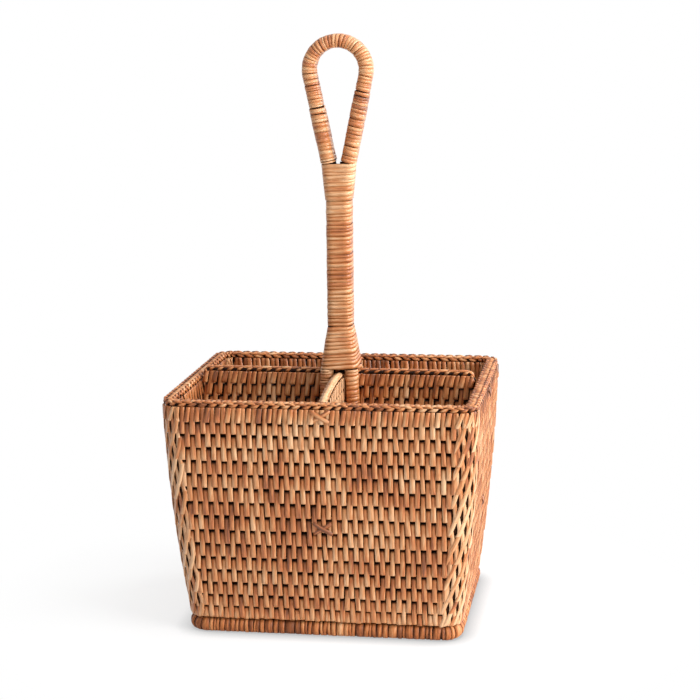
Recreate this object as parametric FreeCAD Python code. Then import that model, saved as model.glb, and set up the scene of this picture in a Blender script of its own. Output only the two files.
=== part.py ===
import FreeCAD, Part
import math
import os

# Rattan cutlery caddy: a tapered basket woven over rods, a wrapped foot ring, one long divider and
# two half dividers that make four compartments, and a tall handle bent from two poles.
# Sizes are in millimetres. +Z is up, +X runs along the basket's long side and -Y is its front.
# The origin is on the table, under the middle of the foot ring. The half dividers and the handle
# stand a little off that middle, as in a hand-woven piece.

Vector = FreeCAD.Vector
UP = Vector(0, 0, 1)
ALONG_X = Vector(1, 0, 0)
ALONG_Y = Vector(0, 1, 0)

# ---- driving sizes: basket body, measured outside
rim_length = 198.0
rim_width = 167.0
end_wall_flare = 11.8
long_wall_flare = 12.8
rim_height = 153.5
corner_radius = 12.5
side_bulge = 2.0

# ---- rods, peel and the clearances between them
wall_rod_diameter = 7.2
divider_rod_diameter = 5.4
floor_rod_diameter = 4.8
rim_rod_diameter = 3.6
peel_thickness = 0.6
row_gap = 1.4
row_bunching = 1.7
floor_rod_gap = 1.0
rod_clearance = 0.1
seat_gap = 0.1
cut_margin = 1.0

# ---- rims
rim_braid_height = 5.6
divider_rim_height = 3.8
long_rim_width = 7.8
cross_rim_width = 6.5

# ---- foot ring
foot_height = 9.6
foot_ring_diameter = 10.0
foot_ring_proud = 1.0

# ---- dividers
long_divider_rise = 6.2
long_divider_shoulder = 6.0
cross_divider_wall_drop = 0.5
cross_divider_end_rise = 5.0
cross_divider_arch = 2.3
cross_divider_shoulder = 7.5
crossing_offset = 2.4

# ---- handle
handle_height = 374.0
pole_diameter = 7.5
pole_gap = 0.1
pole_clearance = 0.04
leg_lean = 6.0
leg_gap = 0.3
flare_gap = 0.6
flare_length = 27.4
loop_length = 93.0
collar_drop = 12.0
collar_length = 23.6
left_joint_drop = 46.0
right_joint_drop = 36.5
loop_radius = 18.2
pole_bend_radius = 40.0
collar_peel_thickness = 1.0
lower_loop_peel_thickness = 1.0

# ---- peel lashings where the dividers are tied to the walls
lashing_width = 13.5
lashing_height = 8.0
lashing_strip_width = 2.4
lashing_strip_thickness = 0.6
upper_lashing_drop = 10.2
lower_lashing_drop = 80.6

# ---- sizes that follow
base_length = rim_length - 2.0 * end_wall_flare
base_width = rim_width - 2.0 * long_wall_flare
wall_thickness = wall_rod_diameter + 2.0 * peel_thickness
divider_thickness = divider_rod_diameter + 2.0 * peel_thickness
floor_thickness = floor_rod_diameter + 2.0 * peel_thickness
wall_bottom = foot_height + seat_gap
wall_top = rim_height - rim_braid_height
floor_top = wall_bottom + floor_thickness
divider_bottom = floor_top + seat_gap
row_count = int((wall_top - wall_bottom) / (wall_rod_diameter + row_gap))
cavity_inset = wall_thickness + seat_gap

long_divider_height = rim_height + long_divider_rise
cross_divider_wall_height = rim_height - cross_divider_wall_drop
cross_divider_end_height = rim_height + cross_divider_end_rise
lashing_heights = (rim_height - lower_lashing_drop, rim_height - upper_lashing_drop)

pole_radius = 0.5 * pole_diameter
leg_radius = pole_radius + peel_thickness
stem_offset = pole_radius + 0.5 * pole_gap
leg_x = 0.5 * divider_thickness + leg_gap + leg_radius
leg_y = 0.5 * long_rim_width + leg_gap + leg_radius
flare_bottom = long_divider_height + flare_gap
flare_top = flare_bottom + flare_length
loop_merge_height = handle_height - loop_length
collar_bottom = loop_merge_height - collar_drop
collar_top = collar_bottom + collar_length
left_joint_height = handle_height - left_joint_drop
right_joint_height = handle_height - right_joint_drop

loft_sections = 5
reach = 2.0 * max(rim_length, handle_height)


def row_line(number):
    """Height of the line between two rows, which are closer together at the floor and the rim."""
    share = number / row_count
    bunching = row_bunching * math.sin(2.0 * math.pi * share)
    return wall_bottom + (wall_top - wall_bottom) * share - bunching


row_heights = [0.5 * (row_line(row) + row_line(row + 1)) for row in range(row_count)]


def slab(z_low, z_high):
    """Everything between two heights."""
    corner = Vector(-reach, -reach, z_low)
    return Part.makeBox(2.0 * reach, 2.0 * reach, z_high - z_low, corner)


def polygon_wire(points):
    return Part.makePolygon(points + points[:1])


def rounded_rectangle(half_x, half_y, radius, z):
    """A closed wire that starts at the left end of its front edge and runs to +X."""
    straight_x = half_x - radius
    straight_y = half_y - radius
    diagonal = radius * math.sqrt(0.5)
    corners = ((1, -1), (1, 1), (-1, 1), (-1, -1))
    arcs = []
    for side_x, side_y in corners:
        centre = Vector(side_x * straight_x, side_y * straight_y, z)
        ends = [centre + Vector(side_x * radius, 0, 0), centre + Vector(0, side_y * radius, 0)]
        if side_x == -side_y:
            ends.reverse()
        middle = centre + Vector(side_x * diagonal, side_y * diagonal, 0)
        arcs.append((ends[0], middle, ends[1]))
    edges = []
    previous = arcs[-1][2]
    for start, middle, end in arcs:
        edges.append(Part.LineSegment(previous, start).toShape())
        edges.append(Part.Arc(start, middle, end).toShape())
        previous = end
    return Part.Wire(edges)


def half_size(rim_size, base_size, z):
    """Half of the basket's outer length or width at one height, with the walls' slight belly."""
    share = (z - foot_height) / (rim_height - foot_height)
    belly = 4.0 * side_bulge * share * (1.0 - share)
    return 0.5 * (base_size + (rim_size - base_size) * share) + belly


def half_length(z):
    return half_size(rim_length, base_length, z)


def half_width(z):
    return half_size(rim_width, base_width, z)


def basket_outline(z, inset):
    return rounded_rectangle(half_length(z) - inset, half_width(z) - inset, corner_radius - inset, z)


def basket_solid(inset, z_low, z_high):
    """The tapered basket as one solid, its faces pulled in by the inset."""
    step = (z_high - z_low) / (loft_sections - 1)
    wires = [basket_outline(z_low + step * section, inset) for section in range(loft_sections)]
    return Part.makeLoft(wires, True, False)


def swept(path, profile):
    return path.makePipeShell([profile], True, False)


def tube(path, radius):
    """A round bar along a path, made from its first point."""
    first_edge = path.OrderedEdges[0]
    start = first_edge.firstVertex(True).Point
    direction = first_edge.tangentAt(first_edge.getParameterByLength(0.0))
    if first_edge.Orientation == "Reversed":
        direction = first_edge.tangentAt(first_edge.LastParameter).negative()
    circle = Part.Circle(start, direction, radius).toShape()
    return swept(path, Part.Wire([circle]))


def ring_rod(z, inset, radius):
    return tube(basket_outline(z, inset), radius)


def bar(start, end, radius):
    direction = end.sub(start)
    return Part.makeCylinder(radius, direction.Length, start, direction)


def bent_edges(points, bend_radius):
    """Straight runs between the points, joined by arcs that are tangent to both runs."""
    edges = []
    start = points[0]
    for before, corner, after in zip(points, points[1:], points[2:]):
        inward = before.sub(corner).normalize()
        outward = after.sub(corner).normalize()
        half_opening = 0.5 * inward.getAngle(outward)
        tangent = bend_radius / math.tan(half_opening)
        bisector = inward.add(outward).normalize()
        to_arc = bend_radius / math.sin(half_opening) - bend_radius
        arc_start = corner.add(inward * tangent)
        arc_end = corner.add(outward * tangent)
        arc_middle = corner.add(bisector * to_arc)
        edges.append(Part.LineSegment(start, arc_start).toShape())
        edges.append(Part.Arc(arc_start, arc_middle, arc_end).toShape())
        start = arc_end
    edges.append(Part.LineSegment(start, points[-1]).toShape())
    return edges


# ---- the basket wall: closed rods, the peel woven round them, and the rim

cavity = basket_solid(cavity_inset, wall_bottom - foot_height, long_divider_height + foot_height)


def make_wall_rods():
    middle = 0.5 * wall_thickness
    return [ring_rod(z, middle, 0.5 * wall_rod_diameter) for z in row_heights]


def straight_side_prism(half_of, extrude_along):
    """The wedge that holds the straight part of two opposite walls, between their corners."""
    low = wall_bottom
    high = wall_top
    corner_low = half_of(low) - corner_radius
    corner_high = half_of(high) - corner_radius
    slope = (corner_high - corner_low) / (high - low)
    below = low - foot_height
    above = high + foot_height
    half_below = corner_low + slope * (below - low)
    half_above = corner_low + slope * (above - low)
    across = ALONG_X if extrude_along == ALONG_Y else ALONG_Y
    points = [across * -half_below, across * half_below, across * half_above, across * -half_above]
    for point, z in zip(points, (below, below, above, above)):
        point.z = z
    start = extrude_along * -reach
    face = Part.Face(polygon_wire([point.add(start) for point in points]))
    return face.extrude(extrude_along * (2.0 * reach))


def half_space(direction):
    """The half of the space that lies on one side of the origin, as a large box."""
    box = Part.makeBox(reach, 2.0 * reach, 2.0 * reach, Vector(0, -reach, -reach))
    angle = math.degrees(math.atan2(direction.y, direction.x))
    box.rotate(Vector(0, 0, 0), UP, angle)
    return box


def make_wall_panels():
    """The woven wall, as four flat sides and four corners that meet face to face."""
    outside = basket_solid(0.0, wall_bottom, rim_height)
    inside = basket_solid(wall_thickness, 0.0, rim_height + cut_margin)
    shell = outside.common(slab(wall_bottom, wall_top)).cut(inside)
    middle = 0.5 * wall_thickness
    channel_radius = 0.5 * wall_rod_diameter + rod_clearance
    channels = [ring_rod(z, middle, channel_radius) for z in row_heights]
    long_sides = straight_side_prism(half_length, ALONG_Y)
    short_sides = straight_side_prism(half_width, ALONG_X)
    front = half_space(ALONG_Y.negative())
    back = half_space(ALONG_Y)
    left = half_space(ALONG_X.negative())
    right = half_space(ALONG_X)
    corner_ring = shell.cut([long_sides, short_sides])
    panels = {
        "front_wall_weave": shell.common(long_sides).common(front),
        "back_wall_weave": shell.common(long_sides).common(back),
        "left_wall_weave": shell.common(short_sides).common(left),
        "right_wall_weave": shell.common(short_sides).common(right),
        "front_left_corner_weave": corner_ring.common(front).common(left),
        "front_right_corner_weave": corner_ring.common(front).common(right),
        "back_left_corner_weave": corner_ring.common(back).common(left),
        "back_right_corner_weave": corner_ring.common(back).common(right),
    }
    return {name: panel.cut(channels) for name, panel in panels.items()}


def make_rim():
    """The braid that closes the top of the wall, round its own thin rod."""
    z = wall_top + 0.5 * rim_braid_height
    middle = 0.5 * wall_thickness
    outside = basket_solid(0.0, wall_bottom, rim_height)
    inside = basket_solid(wall_thickness, 0.0, rim_height + cut_margin)
    braid = outside.common(slab(wall_top, rim_height)).cut(inside)
    rod = ring_rod(z, middle, 0.5 * rim_rod_diameter)
    channel = ring_rod(z, middle, 0.5 * rim_rod_diameter + rod_clearance)
    return rod, braid.cut(channel)


# ---- floor and foot ring

def make_floor():
    """Rods laid side by side along the basket, laced into one flat mat inside the walls."""
    z = wall_bottom + 0.5 * floor_thickness
    inner_half_width = half_width(z) - cavity_inset
    inner_half_length = half_length(z) - cavity_inset
    pitch = floor_rod_diameter + floor_rod_gap
    count = int(2.0 * (inner_half_width - peel_thickness) / pitch)
    first = -0.5 * pitch * (count - 1)
    rod_limit = basket_solid(cavity_inset + peel_thickness, 0.0, rim_height)
    mat = cavity.common(slab(wall_bottom, floor_top))
    rods = []
    channels = []
    for index in range(count):
        y = first + pitch * index
        left_end = Vector(-inner_half_length, y, z)
        right_end = Vector(inner_half_length, y, z)
        rods.append(bar(left_end, right_end, 0.5 * floor_rod_diameter).common(rod_limit))
        channels.append(bar(left_end, right_end, 0.5 * floor_rod_diameter + rod_clearance).common(rod_limit))
    return Part.makeCompound(rods), mat.cut(channels)


def make_foot_ring():
    """A wrapped pole bent into a ring. Its binding is flat underneath, where it stands."""
    radius = 0.5 * foot_ring_diameter
    pole = radius - peel_thickness
    inset = radius - foot_ring_proud
    centre_height = foot_height - radius
    half_x = 0.5 * base_length - inset
    half_y = 0.5 * base_width - inset
    path = rounded_rectangle(half_x, half_y, corner_radius - inset, centre_height)
    binding = tube(path, radius).common(slab(0.0, foot_height))
    return tube(path, pole), binding.cut(tube(path, pole + rod_clearance))


# ---- dividers

def upright_prism(outline, thickness, normal):
    """An upright outline thickened equally to both sides of its own plane."""
    face = Part.Face(outline)
    face.translate(normal * (-0.5 * thickness))
    return face.extrude(normal * thickness)


def long_divider_outline(inset):
    """The long divider seen from the front: a flat top with round shoulders at the side walls."""
    end = half_length(rim_height) - cavity_inset - inset
    top = long_divider_height - inset
    radius = long_divider_shoulder - inset
    diagonal = radius * math.sqrt(0.5)
    low = -foot_height
    left_centre = Vector(radius - end, 0, top - radius)
    right_centre = Vector(end - radius, 0, top - radius)
    left_low = Vector(-end, 0, low)
    left_high = Vector(-end, 0, top - radius)
    left_middle = left_centre.add(Vector(-diagonal, 0, diagonal))
    left_top = Vector(radius - end, 0, top)
    right_top = Vector(end - radius, 0, top)
    right_middle = right_centre.add(Vector(diagonal, 0, diagonal))
    right_high = Vector(end, 0, top - radius)
    right_low = Vector(end, 0, low)
    edges = [
        Part.LineSegment(left_low, left_high).toShape(),
        Part.Arc(left_high, left_middle, left_top).toShape(),
        Part.LineSegment(left_top, right_top).toShape(),
        Part.Arc(right_top, right_middle, right_high).toShape(),
        Part.LineSegment(right_high, right_low).toShape(),
        Part.LineSegment(right_low, left_low).toShape(),
    ]
    return Part.Wire(edges)


def cross_divider_outline(inset):
    """The front half divider seen from the side: an arched top that turns down at its inner end."""
    inner_y = -(0.5 * divider_thickness + seat_gap)
    wall_y = cavity_inset - half_width(rim_height)
    radius = cross_divider_shoulder
    chord = inner_y - radius - wall_y
    end_slope = 2.0 * math.atan(2.0 * cross_divider_arch / chord)
    centre = Vector(0, inner_y - radius, cross_divider_end_height - radius * math.cos(end_slope))
    radius -= inset

    def on_shoulder(angle):
        return centre.add(Vector(0, radius * math.sin(angle), radius * math.cos(angle)))

    outside = Vector(0, wall_y - corner_radius, cross_divider_wall_height - inset)
    wall_point = Vector(0, wall_y, cross_divider_wall_height - inset)
    arch_end = on_shoulder(end_slope)
    arch_middle = (wall_point + arch_end) * 0.5 + UP * cross_divider_arch
    shoulder_middle = on_shoulder(0.5 * (end_slope + 0.5 * math.pi))
    inner_high = on_shoulder(0.5 * math.pi)
    inner_low = Vector(0, inner_high.y, -foot_height)
    outside_low = Vector(0, outside.y, -foot_height)
    edges = [
        Part.LineSegment(outside, wall_point).toShape(),
        Part.Arc(wall_point, arch_middle, arch_end).toShape(),
        Part.Arc(arch_end, shoulder_middle, inner_high).toShape(),
        Part.LineSegment(inner_high, inner_low).toShape(),
        Part.LineSegment(inner_low, outside_low).toShape(),
        Part.LineSegment(outside_low, outside).toShape(),
    ]
    return Part.Wire(edges)


def make_divider(outline_of, normal, along, rim_width_across, rim_low):
    """One divider: its rods, the peel woven round them and the twisted rim over its top edge."""
    panel_zone = cavity.common(slab(divider_bottom, reach))
    panel = upright_prism(outline_of(divider_rim_height), divider_thickness, normal).common(panel_zone)
    rim_outer = upright_prism(outline_of(0.0), rim_width_across, normal)
    rim_inner = upright_prism(outline_of(divider_rim_height), 2.0 * rim_width_across, normal)
    rim = rim_outer.cut(rim_inner).common(cavity.common(slab(rim_low, reach)))
    rod_zone = upright_prism(outline_of(divider_rim_height + peel_thickness), divider_thickness, normal)
    rod_zone = rod_zone.common(panel_zone)
    rods = []
    channels = []
    for z in row_heights:
        start = along * -reach + UP * z
        end = along * reach + UP * z
        rods.append(bar(start, end, 0.5 * divider_rod_diameter).common(rod_zone))
        channels.append(bar(start, end, 0.5 * divider_rod_diameter + rod_clearance).common(rod_zone))
    return Part.makeCompound(rods), panel.cut(channels), rim


# ---- handle: two poles, each bent into a loop with two legs, and the peel that binds them

loop_centre_height = handle_height - leg_radius - loop_radius


def loop_side_points():
    """Where the loop's straight side leaves the stem, and where it meets the round top."""
    rise = loop_centre_height - loop_merge_height
    distance = math.hypot(stem_offset, rise)
    lean = math.asin(loop_radius / distance) - math.atan2(stem_offset, rise)
    merge = Vector(stem_offset, 0, loop_merge_height)
    touch = Vector(loop_radius * math.cos(lean), 0, loop_centre_height - loop_radius * math.sin(lean))
    return merge, touch, lean


merge_point, touch_point, loop_lean = loop_side_points()


def mirrored(point, side_x, y):
    return Vector(side_x * point.x, y, point.z)


def leg_points(side_x, side_y):
    """One pole from under the floor up to the stem, on one corner of the handle."""
    floor_x = leg_x + leg_lean
    under_floor = Vector(side_x * floor_x, side_y * leg_y, wall_bottom)
    flare_end = Vector(side_x * leg_x, side_y * leg_y, flare_bottom)
    stem_start = Vector(side_x * stem_offset, side_y * stem_offset, flare_top)
    stem_end = Vector(side_x * stem_offset, side_y * stem_offset, loop_merge_height)
    return [under_floor, flare_end, stem_start, stem_end]


def handle_path(side_y):
    """The line of one pole: up the left leg, round the loop and down the right leg."""
    y = side_y * stem_offset
    left = leg_points(-1, side_y) + [mirrored(touch_point, -1, y)]
    right = leg_points(1, side_y) + [mirrored(touch_point, 1, y)]
    right.reverse()
    top = Vector(0, y, loop_centre_height + loop_radius)
    over_top = Part.Arc(left[-1], top, right[0]).toShape()
    edges = bent_edges(left, pole_bend_radius) + [over_top] + bent_edges(right, pole_bend_radius)
    return Part.Wire(edges)


def make_handle_poles(radius):
    above_floor = slab(floor_top + seat_gap, reach)
    return [tube(handle_path(side_y), radius).common(above_floor) for side_y in (-1, 1)]


def make_leg_binding(side_x, side_y, channels):
    path = Part.Wire(bent_edges(leg_points(side_x, side_y), pole_bend_radius))
    zone = slab(floor_top + seat_gap, flare_bottom - seat_gap)
    return tube(path, leg_radius).common(zone).cut(channels)


def bundle_section(offset_x, offset_y, z, peel):
    """The outline of peel pulled tight round four poles."""
    cover = pole_radius + peel
    return rounded_rectangle(offset_x + cover, offset_y + cover, cover, z)


def loop_side_offset(z):
    """How far the loop's straight side stands from the middle at one height."""
    share = (z - merge_point.z) / (touch_point.z - merge_point.z)
    return merge_point.x + share * (touch_point.x - merge_point.x)


def make_stem_bindings(channels):
    """The wraps round all the poles: the flare over the legs, the stem and the collar."""
    stem_low = bundle_section(stem_offset, stem_offset, flare_top + seat_gap, peel_thickness)
    stem_high = bundle_section(stem_offset, stem_offset, collar_bottom - seat_gap, peel_thickness)
    flare_low = bundle_section(leg_x, leg_y, flare_bottom, peel_thickness)
    flare_high = bundle_section(stem_offset, stem_offset, flare_top, peel_thickness)
    collar_low = bundle_section(stem_offset, stem_offset, collar_bottom, collar_peel_thickness)
    spread = loop_side_offset(collar_top)
    collar_high = bundle_section(spread, stem_offset, collar_top, collar_peel_thickness)
    sections = {
        "flare_binding": (flare_low, flare_high),
        "stem_binding": (stem_low, stem_high),
        "collar_binding": (collar_low, collar_high),
    }
    return {name: Part.makeLoft(list(pair), True, True).cut(channels) for name, pair in sections.items()}


def loop_wrap(peel):
    """Peel wound round both poles, from the top of the collar all the way round the loop."""
    cover = pole_radius + peel
    start_height = collar_top + seat_gap - cover * math.sin(loop_lean)
    right_start = Vector(loop_side_offset(start_height), 0, start_height)
    left_start = mirrored(right_start, -1, 0)
    left_touch = mirrored(touch_point, -1, 0)
    top = Vector(0, 0, loop_centre_height + loop_radius)
    edges = [
        Part.LineSegment(left_start, left_touch).toShape(),
        Part.Arc(left_touch, top, touch_point).toShape(),
        Part.LineSegment(touch_point, right_start).toShape(),
    ]
    across = left_touch.sub(left_start).normalize().cross(ALONG_Y) * cover
    outward = ALONG_Y * cover
    front = left_start - ALONG_Y * stem_offset
    back = left_start + ALONG_Y * stem_offset
    profile = Part.Wire([
        Part.LineSegment(front + across, back + across).toShape(),
        Part.Arc(back + across, back + outward, back - across).toShape(),
        Part.LineSegment(back - across, front - across).toShape(),
        Part.Arc(front - across, front - outward, front + across).toShape(),
    ])
    return swept(Part.Wire(edges), profile)


def make_loop_bindings(channels):
    """Three wraps: a thicker one up each side and a thinner one over the top."""
    side_wrap = loop_wrap(lower_loop_peel_thickness)
    left_zone = half_space(ALONG_X.negative())
    right_zone = half_space(ALONG_X)
    low = collar_top + seat_gap
    left = side_wrap.common(left_zone).common(slab(low, left_joint_height))
    right = side_wrap.common(right_zone).common(slab(low, right_joint_height))
    top_zone = left_zone.common(slab(left_joint_height + seat_gap, reach))
    top_zone = top_zone.fuse(right_zone.common(slab(right_joint_height + seat_gap, reach)))
    top = loop_wrap(peel_thickness).common(top_zone)
    wraps = {"loop_left_binding": left, "loop_right_binding": right, "loop_top_binding": top}
    return {name: wrap.cut(channels) for name, wrap in wraps.items()}


# ---- lashings: crossed strips of peel on the outside of each wall

def crossed_strips(z, half_of):
    """One lashing flat on a wall that faces -Y, sloped as the wall is."""
    run = math.hypot(lashing_width, lashing_height)
    slant = math.degrees(math.atan2(lashing_height, lashing_width))
    strips = []
    for angle in (slant, -slant):
        corner = Vector(-0.5 * run, -lashing_strip_thickness, -0.5 * lashing_strip_width)
        strip = Part.makeBox(run, lashing_strip_thickness, lashing_strip_width, corner)
        strip.rotate(Vector(0, 0, 0), ALONG_Y, angle)
        strips.append(strip)
    cross = strips[0].fuse(strips[1]).removeSplitter()
    rise = 0.5 * lashing_height
    slope = (half_of(z + rise) - half_of(z - rise)) / lashing_height
    cross.rotate(Vector(0, 0, 0), ALONG_X, math.degrees(math.atan(slope)))
    cross.translate(Vector(0, -half_of(z) - seat_gap, z))
    return cross


def make_lashings(half_of, turn):
    crosses = [crossed_strips(z, half_of) for z in lashing_heights]
    group = Part.makeCompound(crosses)
    group.rotate(Vector(0, 0, 0), UP, turn)
    return group


def turned_round(shape):
    """The same shape on the opposite side of the basket."""
    copy = shape.copy()
    copy.rotate(Vector(0, 0, 0), UP, 180.0)
    return copy


# Everything that is built round the crossing of the dividers, and stands off the basket's middle.
CROSSING_GROUPS = (
    "front_divider", "back_divider", "front_handle", "back_handle", "front_left_leg", "front_right_leg",
    "back_left_leg", "back_right_leg", "flare", "stem", "collar", "loop", "front_lashings", "back_lashings",
)


def build_parts():
    parts = {}
    for number, rod in enumerate(make_wall_rods(), start=1):
        parts["wall_rod_%02d" % number] = rod
    parts.update(make_wall_panels())
    parts["rim_rod"], parts["rim_braid"] = make_rim()
    parts["floor_rods"], parts["floor_weave"] = make_floor()
    parts["foot_ring_pole"], parts["foot_ring_binding"] = make_foot_ring()

    shoulder_low = long_divider_height - long_divider_shoulder
    rods, panel, rim = make_divider(long_divider_outline, ALONG_Y, ALONG_X, long_rim_width, shoulder_low)
    parts["long_divider_rods"] = rods
    parts["long_divider_weave"] = panel
    parts["long_divider_rim"] = rim
    shoulder_low = cross_divider_end_height - cross_divider_shoulder
    rods, panel, rim = make_divider(cross_divider_outline, ALONG_X, ALONG_Y, cross_rim_width, shoulder_low)
    parts["front_divider_rods"] = rods
    parts["front_divider_weave"] = panel
    parts["front_divider_rim"] = rim
    parts["back_divider_rods"] = turned_round(rods)
    parts["back_divider_weave"] = turned_round(panel)
    parts["back_divider_rim"] = turned_round(rim)

    parts["front_handle_pole"], parts["back_handle_pole"] = make_handle_poles(pole_radius)
    channels = make_handle_poles(pole_radius + pole_clearance)
    sides = {"front_left": (-1, -1), "front_right": (1, -1), "back_left": (-1, 1), "back_right": (1, 1)}
    for name, (side_x, side_y) in sides.items():
        parts[name + "_leg_binding"] = make_leg_binding(side_x, side_y, channels)
    parts.update(make_stem_bindings(channels))
    parts.update(make_loop_bindings(channels))

    parts["front_lashings"] = make_lashings(half_width, 0.0)
    parts["back_lashings"] = make_lashings(half_width, 180.0)
    for name in parts:
        if name.startswith(CROSSING_GROUPS):
            parts[name].translate(ALONG_X * crossing_offset)
    parts["left_lashings"] = make_lashings(half_length, -90.0)
    parts["right_lashings"] = make_lashings(half_length, 90.0)
    return parts


os.makedirs("parts", exist_ok=True)
for node_name, node_shape in build_parts().items():
    node_shape.exportStep("parts/%s.step" % node_name)
    print(node_name, len(node_shape.Solids), "solids", round(node_shape.Volume), "mm3", node_shape.isValid())
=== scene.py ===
import math
from dataclasses import dataclass

import bmesh
import bpy
import numpy as np
from bpy.props import FloatProperty, FloatVectorProperty, PointerProperty
from mathutils import Matrix, Vector


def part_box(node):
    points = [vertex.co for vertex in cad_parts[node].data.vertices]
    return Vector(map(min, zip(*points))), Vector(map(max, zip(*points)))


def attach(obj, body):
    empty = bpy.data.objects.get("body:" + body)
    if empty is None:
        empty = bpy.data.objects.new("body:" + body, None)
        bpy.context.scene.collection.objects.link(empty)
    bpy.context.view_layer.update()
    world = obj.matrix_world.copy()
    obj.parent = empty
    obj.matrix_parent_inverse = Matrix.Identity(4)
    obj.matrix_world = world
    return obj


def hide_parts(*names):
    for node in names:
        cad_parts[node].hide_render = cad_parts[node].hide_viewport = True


bl_info = {
    "name": "Rattan Cutlery Caddy",
    "version": (1, 0, 0),
    "blender": (4, 5, 0),
    "location": "View3D > Sidebar > Caddy",
    "description": "Dresses the frame of a rattan cutlery caddy in woven, plaited and wound peel",
    "category": "Object",
}

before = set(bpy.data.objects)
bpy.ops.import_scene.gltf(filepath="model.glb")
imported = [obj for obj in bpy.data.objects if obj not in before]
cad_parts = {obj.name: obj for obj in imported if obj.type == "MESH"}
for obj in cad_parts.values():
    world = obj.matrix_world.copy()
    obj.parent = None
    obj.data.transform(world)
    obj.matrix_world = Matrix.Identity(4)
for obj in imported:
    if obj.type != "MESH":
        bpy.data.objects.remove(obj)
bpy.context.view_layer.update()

MM = 0.001
TOLERANCE = 1e-6
BODY = "root"
SIDES = ("front", "right", "back", "left")
CORNERS = ("front_right", "back_right", "back_left", "front_left")
QUARTER_TURN = 0.5 * math.pi


def shade(red, green, blue):
    """A colour as a paint chart gives it, 0 to 255, as the light it reflects."""
    values = []
    for part in (red, green, blue):
        part /= 255.0
        values.append(part / 12.92 if part <= 0.04045 else ((part + 0.055) / 1.055) ** 2.4)
    return values


def box_mm(node):
    """The low and the high corner of a node's box, in millimetres."""
    return [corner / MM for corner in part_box(node)]


def top_of(node):
    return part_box(node)[1].z


def thickness_of(node, axis):
    low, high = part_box(node)
    return high[axis] - low[axis]


# ---- sizes and colours a user may change

def length_setting(label, note, default):
    return FloatProperty(name=label, description=note, default=default, unit="LENGTH")


def colour_setting(label, note, *levels):
    return FloatVectorProperty(
        name=label, description=note, subtype="COLOR", default=shade(*levels), min=0, max=1)


class BasketSizes(bpy.types.PropertyGroup):
    """The basket's own sizes, read from the frame where it has them."""
    rim_length: length_setting("Rim length", "Outside length of the rim", thickness_of("rim_braid", 0))
    rim_width: length_setting("Rim width", "Outside width of the rim", thickness_of("rim_braid", 1))
    rim_height: length_setting("Rim height", "Top of the rim above the table", top_of("rim_braid"))
    base_length: length_setting("Base length", "Outside length at the foot ring", 0.1744)
    base_width: length_setting("Base width", "Outside width at the foot ring", 0.1414)
    foot_height: length_setting(
        "Foot height", "Top of the foot ring above the table", top_of("foot_ring_binding"))
    corner_radius: length_setting("Corner radius", "Outside radius of the basket's four corners", 0.0125)
    side_bulge: length_setting("Side bulge", "How far each wall bellies out half way up", 0.002)
    wall_thickness: length_setting("Wall thickness", "Rod and two layers of peel", 0.0084)
    divider_thickness: length_setting(
        "Divider thickness", "Thinner rod and two layers of peel",
        thickness_of("long_divider_weave", 1))


class PeelSizes(bpy.types.PropertyGroup):
    """How wide the strips of peel are cut, and how closely they are laid."""
    column_pitch: length_setting("Column pitch", "From one column of stitches to the next", 0.00325)
    turn_pitch: length_setting("Turn pitch", "Average width of a turn wound round the handle", 0.0025)
    foot_turn_pitch: length_setting(
        "Foot turn pitch", "Average width of a turn wound round the foot ring", 0.0034)
    plait_pitch: length_setting("Plait pitch", "From one crossing of the rim's plait to the next", 0.0065)


class PeelColours(bpy.types.PropertyGroup):
    """The colours of dried rattan, from the deep shade of its hollows to its bright skin."""
    # painted shade: hollow is the colour of peel in the shade between two rods, and also of its dark
    # specks
    hollow: colour_setting("Hollow", "Peel that dips between two rods", 122, 66, 30)
    warm: colour_setting("Warm", "The orange-brown strips", 184, 105, 51)
    middle: colour_setting("Middle", "The usual tan", 203, 138, 85)
    pale: colour_setting("Pale", "The lightest strips", 227, 179, 134)
    # painted shade: the rods show only in deep gaps, so their colour is the dark of the shade there, not
    # the tan of rattan
    shaded_rod: colour_setting("Rod", "Rods under the peel", 60, 32, 15)


# ---- materials

def set_input(node, name, value):
    """Sets a node's input to a plain value, or joins it to a wire."""
    if isinstance(value, Wire):
        value.tree.links.new(value.socket, node.inputs[name])
    else:
        node.inputs[name].default_value = value


class Wire:
    """A value in a material. Sums on it add the Math nodes that work them out."""

    def __init__(self, tree, socket):
        self.tree = tree
        self.socket = socket

    def other(self, name):
        """Another output of the same node."""
        return Wire(self.tree, self.socket.node.outputs[name])

    def _math(self, operation, other):
        node = self.tree.nodes.new("ShaderNodeMath")
        node.operation = operation
        set_input(node, 0, self)
        set_input(node, 1, other)
        return Wire(self.tree, node.outputs[0])

    def __add__(self, other):
        return self._math("ADD", other)

    def __sub__(self, other):
        return self._math("SUBTRACT", other)

    def __mul__(self, other):
        return self._math("MULTIPLY", other)


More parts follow.
